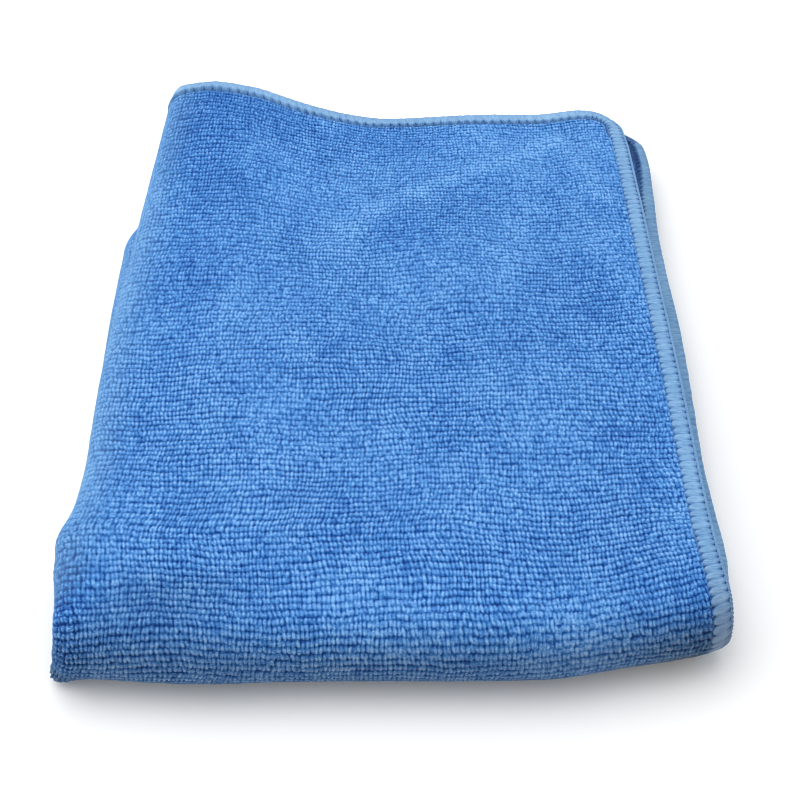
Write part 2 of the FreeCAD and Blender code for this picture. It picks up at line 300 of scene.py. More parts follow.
# ------------ meshes
def add_piece(name, points, faces, layers, material):
    """A smooth mesh object. layers holds per-point values that the material reads."""
    mesh = bpy.data.meshes.new(name)
    sizes = np.concatenate([np.full(len(f), f.shape[1]) for f in faces])
    corners = np.concatenate([f.ravel() for f in faces])
    mesh.vertices.add(len(points))
    mesh.vertices.foreach_set("co", points.astype(np.float32).ravel())
    mesh.loops.add(len(corners))
    mesh.loops.foreach_set("vertex_index", corners.astype(np.int32))
    mesh.polygons.add(len(sizes))
    starts = np.concatenate([[0], np.cumsum(sizes)[:-1]])
    mesh.polygons.foreach_set("loop_start", starts.astype(np.int32))
    mesh.update(calc_edges=True)
    mesh.validate()
    for key, values in layers.items():
        kind = "FLOAT_VECTOR" if values.ndim == 2 else "FLOAT"
        attribute = mesh.attributes.new(key, kind, "POINT")
        attribute.data.foreach_set("vector" if values.ndim == 2 else "value",
                                   values.astype(np.float32).ravel())
    mesh.shade_smooth()
    piece = bpy.data.objects.new(name, mesh)
    bpy.context.scene.collection.objects.link(piece)
    mesh.materials.append(material)
    return piece


def grid_faces(rows, columns, closed):
    """Quads of a grid of points, rows by columns, joined round its columns if closed."""
    index = np.arange(rows * columns).reshape(rows, columns)
    if closed:
        index = np.concatenate([index, index[:, :1]], 1)
    quads = [index[:-1, :-1], index[:-1, 1:], index[1:, 1:], index[1:, :-1]]
    return np.stack(quads, -1).reshape(-1, 4)


def zip_faces(first, second, first_at, second_at, flip):
    """Triangles that close the gap between two lines of points, walked by their places."""
    i, j, faces = 0, 0, []
    while i < len(first) - 1 or j < len(second) - 1:
        step_first = j == len(second) - 1 or (
            i < len(first) - 1 and first_at[i + 1] <= second_at[j + 1])
        if step_first:
            faces.append((first[i], first[i + 1], second[j]))
            i += 1
        else:
            faces.append((first[i], second[j + 1], second[j]))
            j += 1
    faces = np.array(faces)
    return faces[:, ::-1] if flip else faces


# ------------ the terry cloth
FACE_SEED, BACK_SEED = 100, 150
LOOP_CELLS = 512  # after so many loops or rows the random shifts repeat
ROW_WAVES = ((0.60, 38, 1), (0.16, 9, 2))
LOOP_WAVES = ((0.30, 24, 3),)
MATTING_SEED, WORN_SEED = 5, 4  # counted from the face's seed, as in the waves above
ROW_SHIFT = 0.45  # greatest shift of a row along itself, in loops
CREASE_SPREAD = 0.8  # keeps the loops' size round the outside of the side crease
SHIFT_ALONG, SHIFT_ACROSS = 0.20, 0.16  # range of a loop's own shift, in loops and in rows
SHIFT_MATTED = 0.16  # how much wider both ranges are where the pile is matted
ROW_WANDER, WANDER_LOOPS = 0.12, 5  # range of a row's wander, in rows, and the loops it takes
WANDER_OFFSET, WANDER_ROWS = 7.3, 5  # sets rows beside each other apart, five at a time
LOOP_SLANT, SLANT_MIDDLE = 0.6, 0.35
LOOP_WIDE = 0.61  # half a loop's width, in loops
LOOP_NARROWER, NARROWER_WIDTH = 0.05, 7  # how much less near the side crease
LOOP_LONG, LOOP_LONG_MORE = 0.54, 0.07  # half its length, in rows, and more where it is high
LOOP_LEAST, LOOP_MORE = 0.76, 0.26  # height of the lowest loops, and the range above it

# How matted the pile is: everywhere, in waves, at the back right and towards the back.
MATTED, MATTED_WAVES, MATTED_SCALE = 0.25, 0.30, 42
MATTED_HILLS = ((0.6, (48, 74), (26, 26)),)
MATTED_BACK, MATTED_BACK_Q = 0.3, (60, 160)
MATTED_LEVEL, MATTED_FILL = 0.80, 0.35  # the level that it evens the pile to, and how far

# Painted highlights (up) and painted shade (down) on the pile, where light and shade fall on its folds
# and slopes: strength, centre and spread.
PAINTED_LIGHT_HILLS = (
    (0.8, (57, 30), (4, 3)),
    (-0.7, (55, 4), (6, 10)),
    (-0.8, (-62, 62), (10, 42)),
    (-0.4, (-58, 0), (8, 30)),
    (-0.4, (-40, 88), (26, 9)),
    (0.3, (-48, -30), (16, 24)),
    (-0.5, (-70, -90), (34, 11)),
    (-1.0, (74, -94), (18, 10)),
)
NAP_WAVES = ((0.17, 34, 31), (0.13, 12, 32))
# Painted highlight along the soft creases, which catch the light and are brushed too: strength and
# width.
CREASE_BRUSH_AND_HIGHLIGHT = ((0.9, 4.2), (0.8, 3.4))
# A pale strip along the side crease, of fuzzy pile and painted sheen where the light grazes.
SIDE_FUZZ_SHEEN, SIDE_FUZZ_SHEEN_P, SIDE_FUZZ_SHEEN_WIDTH, SIDE_FUZZ_SHEEN_Q = 0.5, -1, 6.5, (4, 30)
# Darker towards the back left.
BACK_LEFT_DARKER, BACK_LEFT_Y, BACK_LEFT_X = -0.25, (30, 80), (10, 60)
# Painted shade on the inner layers by the hem, where the layer above covers them.
TUCKED_SHADE, TUCKED_SPAN = -1.6, (HEM_WIDTH + 4, HEM_WIDTH + 14)  # inner layers, by the hem
# How much the pile's random drifts and the painted light and shade change the tone.
NAP_AND_LIGHT_TONE = 1.8

# How much flatter or fuller the loops stand: the change, its centre and width in p, and its
# span from the front roll.
RUBBED, RUBBED_P, RUBBED_WIDTH, RUBBED_SPAN = 0.5, 0.5, 3.4, (12, 36)  # on the side crease
CRUSHED, CRUSHED_SPAN = 0.85, (0, 3)  # inside the two folds
PROUD, PROUD_P, PROUD_WIDTH, PROUD_SPAN = 0.6, 2, 5, (12, 32)  # at the front left
WORN, WORN_SCALE, WORN_SPAN = 0.12, 34, (0.0, 1.6)  # in patches

# Painted shade on the front crease, reaching further back towards the left; fuzzy pile and painted
# sheen pale the side crease.
TO_LEFT_P = (10, 60)
GREY_START, GREY_END, GREY_END_LEFT = 2, 17, 12
GREY_WIDTH, GREY_WIDTH_LEFT = 18, 8
GREY_BELOW, GREY_BELOW_Q, GREY_UNDER = 0.5, (0, 8), 14
GREY_RIGHT, GREY_RIGHT_X = 0.5, (40, 72)
GREY_PATCH = (0.45, (-50, -86), (16, 6))
GREY_CREASE_P = (-2, 2)
FUZZ_SHEEN, FUZZ_SHEEN_WIDTH = 0.68, 6.8
FUZZ_SHEEN_LINE, FUZZ_SHEEN_LINE_P, FUZZ_SHEEN_LINE_WIDTH = 0.5, 0.3, 1.1
FUZZ_SHEEN_Q = (HALF_ROLL - 16, HALF_ROLL + 10)

BACK_GRAIN = 40.0  # sets the fibres of the cloth's back apart from its face's
HEM_BACK_SPAN = (14, 6)  # where the hem of the sides turns into the hem of the back
# Where the loops start and stand full, past the hem's width, and how much further at the back.
LOOPS_AT_HEM = ((-1.5, 0.6), (0.1, 1.5))
HEM_SHADE, HEM_SHADE_LESS = 0.6, 0.35  # of the cloth under the hem, and how much less at the back
# The depth below is painted: it darkens the colour of the gaps between loops as shade.
PILE_FLAT, PILE_FULL = 0.45, 0.55  # depth of the gaps where flat, and how much more where full


def top_place(p, q):
    """Where a point of the top quarter lies, in x and y, when the cloth is neat."""
    return SIDE_AXIS_X + p - HALF_BEND, HINGE_Y + q - HALF_ROLL


def inset(p, q):
    """How far a point lies in from the hem's outer edge, up to the corner radius."""
    far = np.where(p > 0, OUTER_P, INNER_P) - CORNER_RADIUS
    along = HALF_ROLL + np.where(q > 0, UPPER_LENGTH, LOWER_LENGTH) - CORNER_RADIUS
    side = np.maximum(np.abs(p) - far, 0)
    end = np.maximum(np.abs(q) - along, 0)
    return CORNER_RADIUS - np.hypot(side, end)


def round_corner(p, q):
    """Draws a grid's square corner in to the cloth's rounded one."""
    radius = CORNER_RADIUS - CLOTH_INSET
    far = np.where(p > 0, OUTER_P, INNER_P) - CORNER_RADIUS
    along = HALF_ROLL + np.where(q > 0, UPPER_LENGTH, LOWER_LENGTH) - CORNER_RADIUS
    a = np.clip((np.abs(p) - far) / radius, 0, 1)
    b = np.clip((np.abs(q) - along) / radius, 0, 1)
    in_corner = (a > 0) & (b > 0)
    new_p = np.sign(p) * (far + radius * a * np.sqrt(1 - b * b / 2))
    new_q = np.sign(q) * (along + radius * b * np.sqrt(1 - a * a / 2))
    return np.where(in_corner, new_p, p), np.where(in_corner, new_q, q)


def matting(p, q, seed):
    """How matted the pile is, from 0 to 1."""
    x, y = top_place(p, q)
    level = MATTED + MATTED_WAVES * waves(p, q, MATTED_SCALE, seed)
    level = add_hills(level, x, y, MATTED_HILLS)
    return np.clip(level + MATTED_BACK * ease(q, *MATTED_BACK_Q), 0, 1)


def loops(p, q, seed):
    """Height, 0 to about 1, and tone, -1 to 1, of the terry loops at each point."""
    rng = np.random.default_rng(seed)
    shift_p, shift_q, lift, tone, stray = rng.random((5, LOOP_CELLS, LOOP_CELLS))
    row_shift = ROW_SHIFT * rng.random(LOOP_CELLS)
    v = add_waves(q, p, q, ROW_WAVES, seed) / ROW_PITCH
    spread = CREASE_SPREAD * np.clip(p, -HALF_BEND, HALF_BEND)
    u = add_waves(p + spread, p, q, LOOP_WAVES, seed) / LOOP_PITCH
    matted = matting(p, q, seed + MATTING_SEED)
    wide = LOOP_WIDE - LOOP_NARROWER * np.exp(-(p / NARROWER_WIDTH) ** 2)
    best = np.zeros(p.shape)
    best_tone = np.zeros(p.shape)
    for row_step in (-1, 0, 1):
        row = np.floor(v).astype(int) + row_step
        cell_row = row % LOOP_CELLS
        place_in_row = u / WANDER_LOOPS + WANDER_OFFSET * (row % WANDER_ROWS)
        knot = np.floor(place_in_row).astype(int)
        way = ease(place_in_row - knot, 0, 1)
        wander = (stray[cell_row, knot % LOOP_CELLS] * (1 - way)
                  + stray[cell_row, (knot + 1) % LOOP_CELLS] * way)
        along = u + row_shift[cell_row]
        for step in (-1, 0, 1):
            column = np.floor(along).astype(int) + step
            key = (cell_row, column % LOOP_CELLS)
            du = along - column - 0.5
            du = du - (SHIFT_ALONG + SHIFT_MATTED * matted) * (shift_p[key] - 0.5)
            dv = v - row - 0.5 - ROW_WANDER * (wander - 0.5)
            dv = dv - (SHIFT_ACROSS + SHIFT_MATTED * matted) * (shift_q[key] - 0.5)
            du = du + LOOP_SLANT * dv * (shift_q[key] - SLANT_MIDDLE)
            dome = 1 - (du / wide) ** 2 - (dv / (LOOP_LONG + LOOP_LONG_MORE * lift[key])) ** 2
            height = np.sqrt(np.maximum(dome, 0)) * (LOOP_LEAST + LOOP_MORE * np.sqrt(lift[key]))
            higher = height > best
            best = np.where(higher, height, best)
            best_tone = np.where(higher, 2 * tone[key] - 1, best_tone)
    return best + (MATTED_LEVEL - best) * MATTED_FILL * matted, best_tone


def nap_and_painted_light(p, q):
    """How pale (up) or dark (down) the pile looks: brushed soft creases with painted highlights,
    painted shade in folds.
    """
    x, y = top_place(p, q)
    level = 0
    for line, (strength, width) in zip(SOFT_CREASES, CREASE_BRUSH_AND_HIGHLIGHT):
        level = level + strength * near_line(x, y, line, width)
    level = add_hills(level, x, y, PAINTED_LIGHT_HILLS)
    on_crease = np.exp(-((p - SIDE_FUZZ_SHEEN_P) / SIDE_FUZZ_SHEEN_WIDTH) ** 2)
    level = level + SIDE_FUZZ_SHEEN * on_crease * ease(q, *SIDE_FUZZ_SHEEN_Q)
    level = level + BACK_LEFT_DARKER * ease(y, *BACK_LEFT_Y) * (1 - ease(x, *BACK_LEFT_X))
    level = add_waves(level, p, q, NAP_WAVES)
    on_top = (p > 0) & (q > -HALF_ROLL)
    tucked = (p < -HALF_BEND) * (1 - ease(inset(p, q), *TUCKED_SPAN))
    return np.where(on_top, level, TUCKED_SHADE * tucked)


def fullness(p, q, seed):
    """How full the loops stand: flat where rubbed or crushed, fuller at the front left."""
    from_roll = np.abs(q) - HALF_ROLL
    rubbed = np.exp(-((np.abs(p) - RUBBED_P) / RUBBED_WIDTH) ** 2) * ease(from_roll, *RUBBED_SPAN)
    crushed = (1 - ease(p, -HALF_BEND, 0)) * (1 - ease(from_roll, *CRUSHED_SPAN))
    proud = np.exp(-((p - PROUD_P) / PROUD_WIDTH) ** 2) * (1 - ease(from_roll, *PROUD_SPAN))
    full = 1 - RUBBED * rubbed - WORN * ease(waves(p, q, WORN_SCALE, seed), *WORN_SPAN)
    return full * (1 - CRUSHED * crushed) * (1 + PROUD * proud)


def crease_shade_and_fuzz(p, q):
    """How much painted shade greys the cloth by the front crease, less how pale the side crease is with
    fuzzy pile and painted sheen.
    """
    x, y = top_place(p, q)
    to_left = 1 - ease(p, *TO_LEFT_P)
    width = GREY_WIDTH + GREY_WIDTH_LEFT * to_left
    grey = 1 - ease(q, GREY_START, GREY_END + GREY_END_LEFT * to_left)
    grey = grey * np.exp(-(np.maximum(q, 0) / width) ** 2)
    # More painted shade on the lower side of the front roll, at the front right and in a patch at the
    # front left.
    grey = grey * (1 + GREY_BELOW * ease(-q, *GREY_BELOW_Q))
    grey = grey * (1 - ease(-q, HALF_ROLL, HALF_ROLL + GREY_UNDER))
    grey = add_hills(grey * (1 + GREY_RIGHT * ease(x, *GREY_RIGHT_X)), x, y, [GREY_PATCH])
    # The pale side crease: partly the real fuzzy pile, partly painted sheen where the light grazes.
    fuzz_sheen_line = FUZZ_SHEEN_LINE * np.exp(-((p - FUZZ_SHEEN_LINE_P) / FUZZ_SHEEN_LINE_WIDTH) ** 2) * (q > 0)
    fuzz_sheen = FUZZ_SHEEN * np.exp(-(p / FUZZ_SHEEN_WIDTH) ** 2) + fuzz_sheen_line
    return grey * ease(p, *GREY_CREASE_P) - fuzz_sheen * ease(np.abs(q), *FUZZ_SHEEN_Q)


def near_back(q, start, end):
    """0 to 1 over a span by the back, given as distances short of the lower half's back edge."""
    edge = HALF_ROLL + LOWER_LENGTH
    return ease(np.abs(q), edge - start, edge - end)


def cloth_side(p_line, q_line, face, seed):
    """Points and material values of one side of the cloth over a grid of p and q."""
    q, p = np.meshgrid(q_line, p_line, indexing="ij")
    p, q = round_corner(p, q)
    height, tone = loops(p, q, seed)
    at_back = near_back(q, *HEM_BACK_SPAN)
    loops_start, loops_full = (HEM_WIDTH + side + back * at_back for side, back in LOOPS_AT_HEM)
    free = ease(inset(p, q), loops_start, loops_full)
    ground = GROUND_AT_HEM + (LOOP_BASE - GROUND_AT_HEM) * free
    full = fullness(p, q, seed + WORN_SEED)
    n = ground + LOOP_HEIGHT * height * free * full
    points = place(p, q, n if face else -n)
    weave = np.stack([p, q, np.full(p.shape, 0.0 if face else BACK_GRAIN)], -1)
    # Painted shade: the cloth by the hem's inner line and the low ground between loops are darkened in
    # colour.
    shaded = (HEM_SHADE - HEM_SHADE_LESS * at_back) * (1 - free)
    pile = (1 - (1 - height) * (PILE_FLAT + PILE_FULL * full)) * (1 - shaded)
    # The tone carries the painted highlights and shade as well as the loops' random tone.
    return points, pile, tone + NAP_AND_LIGHT_TONE * nap_and_painted_light(p, q), crease_shade_and_fuzz(p, q), weave


def lines(start, end, step):
    """Evenly spaced places from start to end, about step apart."""
    return np.linspace(start, end, max(2, int(round(abs(end - start) / step)) + 1))


def section_places(stops, steps, part):
    """Places along the folded section, each run between stops with its own step."""
    runs = list(zip(stops[:-1], stops[1:], steps))
    if part != "both":
        runs = [run for run in runs if (run[0] >= 0) == (part == "outer")]
    places = [lines(start, end, step)[:-1] for start, end, step in runs]
    return np.concatenate(places + [[runs[-1][1]]])


def make_cloth(name, part, q_line, outer_step, material):
    """A run of the cloth over q_line, as one closed skin with loops on both faces.

    part is both for the whole folded section, or outer or inner for one side of the side crease.
    The skin's hidden side has a close grid near the open hems only.
    """
    outer_end, inner_end = OUTER_P - CLOTH_INSET, INNER_P - CLOTH_INSET
    face_p = section_places((-inner_end, -HALF_BEND, 0, HALF_BEND, HALF_BEND + FINE_RUN, outer_end),
                            (PLAIN_STEP, BEND_STEP, BEND_STEP, FINE_P, outer_step), part)
    back_p = section_places((-inner_end, NEAR_HEM - inner_end, -HALF_BEND, 0, HALF_BEND,
                             outer_end - NEAR_HEM, outer_end),
                            (PLAIN_STEP, HIDDEN_STEP, HIDDEN_BEND_STEP, HIDDEN_BEND_STEP,
                             HIDDEN_STEP, PLAIN_STEP), part)
    face = cloth_side(face_p, q_line, True, FACE_SEED)
    back = cloth_side(back_p, q_line, False, BACK_SEED)
    rows, face_count, back_count = len(q_line), len(face_p), len(back_p)
    start = rows * face_count
    face_index = np.arange(start).reshape(rows, face_count)
    back_index = start + np.arange(rows * back_count).reshape(rows, back_count)
    rims = []
    for column in (0, -1):
        strip = np.stack([face_index[:-1, column], face_index[1:, column],
                          back_index[1:, column], back_index[:-1, column]], -1)
        rims.append(strip if column == 0 else strip[:, ::-1])
    caps = [zip_faces(face_index[row], back_index[row], face_p, back_p, row == 0)
            for row in (0, -1)]
    faces = [grid_faces(rows, face_count, False),
             start + grid_faces(rows, back_count, False)[:, ::-1]] + rims + caps
    points = np.concatenate([face[0].reshape(-1, 3), back[0].reshape(-1, 3)])
    values = [np.concatenate([a.ravel(), b.ravel()]) for a, b in zip(face[1:4], back[1:4])]
    weave = np.concatenate([face[4].reshape(-1, 3), back[4].reshape(-1, 3)])
    layers = {"pile": values[0], "tone": values[1], "shade_fuzz": values[2], "weave": weave}
    return add_piece(name, points, faces, layers, material)


# ------------ the overlocked hem
STITCH_SEED, STITCH_CELLS = 5, 4096
# Painted shade on the hem by the front crease fades over this length from the front.
HEM_SHADE_REACH = 15.0  # how far from the front the hem is greyed
STITCH_WAVES = ((0.05, 1.7), (0.03, 5.3))  # unevenness of the stitch count: size and rate
BAND_MARGIN = 0.35  # how far the band runs on in past the hem's width
BACK_BAND_END = -4  # degrees at which the back looper ends, past the edge
BAND_BACK_GRAIN = 30  # sets the strands of the back looper apart from the other's

STITCH_HEIGHT, STITCH_UNEVEN, BACK_FULLER = 0.40, 0.10, 0.25
TIP_BACK, TIP_POINTED, TIP_UNEVEN = 0.35, 0.75, 0.35  # where the stitches' inner ends lie
TIP_SHARP, TIP_SOFT = 1.6, (-0.10, 0.30)
PAST_TIP = -0.45  # height past the tips, which lies within the cloth
NOTCH, NOTCH_AT_TIP, NOTCH_AT_EDGE = 0.10, 0.42, 0.22
NOTCH_TIP_FROM, NOTCH_EDGE_FROM, NOTCH_EDGE_TO = 0.50, 0.2, 0.42
NOTCH_SHARP, NOTCH_AT_BACK = 3.5, 0.5
GROOVE_PLACE, GROOVE_WIDTH, GROOVE_DEPTH = 0.80, 0.17, 0.28  # place as out_n
GROOVE_LEAST, GROOVE_SHARP = 0.25, 1.5
OUTSIDE_SHADE, OUTSIDE_SHADE_BACK, OUTSIDE_SHADE_NOTCH = 0.35, 0.30, -0.60
NOTCH_SHADE, NOTCH_SHADE_SHARP, GROOVE_SHADE = 1.6, 4, 0.95
# Each looper's slant of its stitches, and how strong its notches and its groove are.
FACE_LOOPER = (0.10, 1.0, 1.0)
BACK_LOOPER = (-0.18, 0.45, 0.35)

# The insets where the top layer's painted shadow on the back looper starts and where it is full: on the
# straights, and what the corner adds.
COVERED, COVERED_SHADE = ((2.2, -1.6), (3.0, -1.4)), 0.75
COVERED_SPAN, CORNER_LEAN = (34, 14), (0.0, 0.25)

LOCK_ANGLE, LOCK_ANGLE_BACK, LOCK_SWING = 34, -66, 13  # degrees round the edge
LOCK_OUT, LOCK_RISE = 0.22, 0.16
NEEDLE_IN, NEEDLE_SWING, NEEDLE_PHASE = 0.30, 0.30, 0.55
NEEDLE_OVER, NEEDLE_DIVE, DIVE_PHASE, DIVE_SHARP = 0.16, 0.30, 0.05, 6


def hem_route(half):
    """Edge places along the hem of one half: p, q, the way in, the stitch count and the lean.

    The lean is 0 on the sides and 1 along the back.
    """
    side = 1 if half == "upper" else -1
    length = UPPER_LENGTH if side > 0 else LOWER_LENGTH
    straight, corner = length - CORNER_RADIUS, CORNER_RADIUS * math.pi / 2
    back = OUTER_P + INNER_P - 2 * CORNER_RADIUS
    total = 2 * straight + 2 * corner + back
    s = lines(ROLL_MARGIN, total - ROLL_MARGIN, STITCH_STEP)
    stops = np.cumsum([0, straight, corner, back, corner, straight])
    runs = [np.clip(s - stops[k], 0, stops[k + 1] - stops[k]) for k in range(5)]
    first, second = runs[1] / CORNER_RADIUS, runs[3] / CORNER_RADIUS
    turn = first + second
    in_p, in_t = -np.cos(turn), -np.sin(turn)
    p = OUTER_P - CORNER_RADIUS - runs[2] + CORNER_RADIUS * np.cos(turn)
    t = runs[0] - runs[4] + CORNER_RADIUS * np.sin(turn)
    lean = np.sin(turn) ** 2
    pitch = SIDE_STITCH + (BACK_STITCH - SIDE_STITCH) * lean
    phase = np.concatenate([[0], np.cumsum(np.diff(s) / pitch[1:])]) + ROLL_MARGIN / SIDE_STITCH
    return p, side * (HALF_ROLL + t), in_p, side * in_t, phase, lean


def crease_route(outer):
    """Edge places round the front roll, on the outer or on the inner quarters' right hem."""
    q = lines(-HALF_ROLL - ROLL_MARGIN, HALF_ROLL + ROLL_MARGIN, STITCH_STEP)
    ones = np.ones(len(q))
    p = ones * (OUTER_P if outer else -INNER_P)
    stitches = round(2 * HALF_ROLL / SIDE_STITCH) if outer else INNER_ROLL_STITCHES
    phase = (q / (2 * HALF_ROLL) + 0.5) * stitches + 1
    return p, q, ones * (-1 if outer else 1), 0 * ones, phase, 0 * ones


def section_line(face):
    """Across the hem: inset, height off mid-cloth, and the way out, from the inner line to the edge."""
    flat = lines(HEM_WIDTH + BAND_MARGIN, EDGE_RADIUS, BAND_STEP)[:-1]
    angle = np.radians(lines(90, 0 if face else BACK_BAND_END, BAND_ANGLE))
    rise = HEM_RISE + HEM_SWELL * ease(flat, EDGE_RADIUS, HEM_WIDTH)
    d = np.concatenate([flat, EDGE_RADIUS * (1 - np.cos(angle))])
    n = np.concatenate([rise, EDGE_RADIUS * np.sin(angle)])
    out_d = np.concatenate([0 * flat, -np.cos(angle)])
    out_n = np.concatenate([0 * flat + 1, np.sin(angle)])
    return d, n, out_d, out_n


def thread_relief(phase, d, out_n, lean, face):
    """Height of the satin stitches over the hem, its painted shade at each point (darker in the
    notches, the groove and past the tips), and its tone.
    """
    slant, notch_share, groove_share = FACE_LOOPER if face else BACK_LOOPER
    count = phase + slant * d
    for size, rate in STITCH_WAVES:
        count = count + size * np.sin(phase * rate)
    number = np.floor(count).astype(int)
    uneven = np.random.default_rng(STITCH_SEED).random(STITCH_CELLS)[number % STITCH_CELLS]
    away = np.abs(2 * np.mod(count, 1.0) - 1)
    width = HEM_WIDTH if face else BACK_HEM_WIDTH

    # The notch between two stitches, deepest at the tips and by the edge.
    near_tip = ease(d, NOTCH_TIP_FROM * width, width)
    near_edge = 1 - ease(d, NOTCH_EDGE_FROM, NOTCH_EDGE_TO * width)
    notch = (NOTCH + NOTCH_AT_TIP * near_tip + NOTCH_AT_EDGE * near_edge) * notch_share
    notch = notch * (1 - NOTCH_AT_BACK * lean)
    tip = width - TIP_BACK - TIP_POINTED * away ** TIP_SHARP + TIP_UNEVEN * (uneven - 0.5)
    inside = 1 - ease(d, tip + TIP_SOFT[0], tip + TIP_SOFT[1])

    # The groove along the edge, where the needle thread pulls the stitches in.
    groove = np.exp(-((out_n - GROOVE_PLACE) / GROOVE_WIDTH) ** 2) * (1 - lean) * (d < EDGE_RADIUS)
    groove = groove * (GROOVE_LEAST + (1 - GROOVE_LEAST) * away ** GROOVE_SHARP) * groove_share

    full = STITCH_HEIGHT + STITCH_UNEVEN * (uneven - 0.5) + BACK_FULLER * lean
    height = (full - notch * away ** NOTCH_SHARP) * inside + PAST_TIP * (1 - inside)
    height = height - GROOVE_DEPTH * groove
    outside = OUTSIDE_SHADE + lean * (OUTSIDE_SHADE_BACK + OUTSIDE_SHADE_NOTCH * away ** 2)
    depth = outside + (1 - outside) * inside
    open_notch = 1 - NOTCH_SHADE * notch * away ** NOTCH_SHADE_SHARP
    shade = np.clip(open_notch * depth * (1 - GROOVE_SHADE * groove), 0, 1)
    return height, shade, 2 * uneven - 1


def shade_second_layer(shade, d, q0, lean):
    """The back looper's shade, dark at the back corner, where it lies under the top layer."""
    corner = ease(lean, *CORNER_LEAN)
    start, end = (side + back * corner for side, back in COVERED)
    return shade * (1 - COVERED_SHADE * near_back(q0, *COVERED_SPAN) * ease(d, start, end))


def make_band(name, route, face, material):
    """One looper thread's cover of the hem, closed underneath by a plain skin."""
    p0, q0, in_p, in_q, phase, lean = (a[:, None] for a in route)
    d, n, out_d, out_n = (a[None, :] for a in section_line(face))
    # Painted shade on the hem by the front crease, as on the cloth there.
    shade_fuzz = np.exp(-(q0 / HEM_SHADE_REACH) ** 2)
    height, shade, tone = thread_relief(phase, d, out_n, lean, face)
    if not face:
        shade = shade_second_layer(shade, d, q0, lean)
    every_third = slice(None, None, -3)
    under_d = (d - out_d * BAND_DEPTH)[:, every_third] + 0 * phase
    under_n = (n - out_n * BAND_DEPTH)[:, every_third] + 0 * phase
    d_all = np.concatenate([d + out_d * height, under_d], 1)
    n_all = np.concatenate([n + out_n * height, under_n], 1)
    count = d_all.shape[1]
    points = place(p0 + in_p * d_all, q0 + in_q * d_all, n_all if face else -n_all)
    pad = ((0, 0), (0, count - height.shape[1]))
    weave = np.stack([phase + 0 * d_all, d_all, n_all + (0 if face else BAND_BACK_GRAIN)], -1)
    layers = {"pile": np.pad(shade, pad).ravel(), "tone": np.pad(tone + 0 * shade, pad).ravel(),
              "shade_fuzz": (shade_fuzz + 0 * d_all).ravel(), "weave": weave.reshape(-1, 3)}
    rows = len(p0)
    ring = np.arange(rows * count).reshape(rows, count)
    quads = grid_faces(rows, count, True)
    flat = points.reshape(-1, 3)
    if not faces_outward(flat, quads):
        quads = quads[:, ::-1]
        caps = [ring[:1], ring[-1:, ::-1]]
    else:
        caps = [ring[:1, ::-1], ring[-1:]]
    return add_piece(name, flat, [quads] + caps, layers, material)


def faces_outward(points, quads):
    """True if the closed skin's faces look out, by its signed volume."""
    a, b, c, d = (points[quads[:, k]] for k in range(4))
    volume = (np.cross(b, c) * a).sum() + (np.cross(c, d) * a).sum()
    return volume > 0


def make_strands(name, strands, radius, shade, material):
    """Round threads along lines of points, as one piece."""
    around = np.arange(STRAND_SIDES) * 2 * math.pi / STRAND_SIDES
    all_points, all_faces, start, weaves, folds = [], [], 0, [], []
    for line, q0 in strands:
        ahead = np.gradient(line, axis=0)
        ahead /= np.linalg.norm(ahead, axis=1, keepdims=True)
        side = np.cross(ahead, np.array([0.13, 0.21, 0.97]))
        side /= np.linalg.norm(side, axis=1, keepdims=True)
        up = np.cross(side, ahead)
        ring = (line[:, None] + radius * MM * (np.cos(around)[None, :, None] * side[:, None]
                                               + np.sin(around)[None, :, None] * up[:, None]))
        rows = len(line)
        index = start + np.arange(rows * STRAND_SIDES).reshape(rows, STRAND_SIDES)
        all_faces.append(start + grid_faces(rows, STRAND_SIDES, True)[:, ::-1])
        all_faces += [index[:1], index[-1:, ::-1]]
        way = np.concatenate([[0], np.cumsum(np.linalg.norm(np.diff(line, axis=0), axis=1))]) / MM
        turns = around[None, :] / (2 * math.pi)
        weaves.append(np.stack(np.broadcast_arrays(way[:, None], turns, 0.0), -1))
        # Painted shade by the front crease, as on the hem's bands.
        folds.append(np.repeat(np.exp(-(q0 / HEM_SHADE_REACH) ** 2), STRAND_SIDES))
        all_points.append(ring.reshape(-1, 3))
        start += rows * STRAND_SIDES
    quads = [f for f in all_faces if f.shape[1] == 4]
    caps = [f for f in all_faces if f.shape[1] == STRAND_SIDES]
    points = np.concatenate(all_points)
    weave = np.concatenate([w.reshape(-1, 3) for w in weaves])
    layers = {"pile": np.full(len(points), shade), "tone": np.zeros(len(points)),
              "shade_fuzz": np.concatenate(folds), "weave": weave}
    return add_piece(name, points, [np.concatenate(quads)] + caps, layers, material)


def purl_strands(route):
    """Two looper threads that lock round each other along the edge."""
    p0, q0, in_p, in_q, phase, lean = route
    strands = []
    for half_turn in (0.0, math.pi):
        swing = np.sin(2 * math.pi * phase + half_turn)
        rise = np.cos(2 * math.pi * phase + half_turn)
        angle = np.radians(LOCK_ANGLE + LOCK_ANGLE_BACK * lean + LOCK_SWING * swing)
        radius = EDGE_RADIUS + LOCK_OUT + LOCK_RISE * rise
        d = EDGE_RADIUS - radius * np.cos(angle)
        strands.append((place(p0 + in_p * d, q0 + in_q * d, radius * np.sin(angle)), q0))
    return strands


def needle_strand(route):
    """The needle thread, which runs round the tips of the stitches on the cloth's face."""
    p0, q0, in_p, in_q, phase, _ = route
    d = HEM_WIDTH - NEEDLE_IN + NEEDLE_SWING * np.cos(2 * math.pi * (phase + NEEDLE_PHASE))
    dive = np.abs(np.sin(math.pi * (phase + DIVE_PHASE))) ** DIVE_SHARP
    n = LOOP_BASE + NEEDLE_OVER - NEEDLE_DIVE * dive
    return [(place(p0 + in_p * d, q0 + in_q * d, n), q0)]


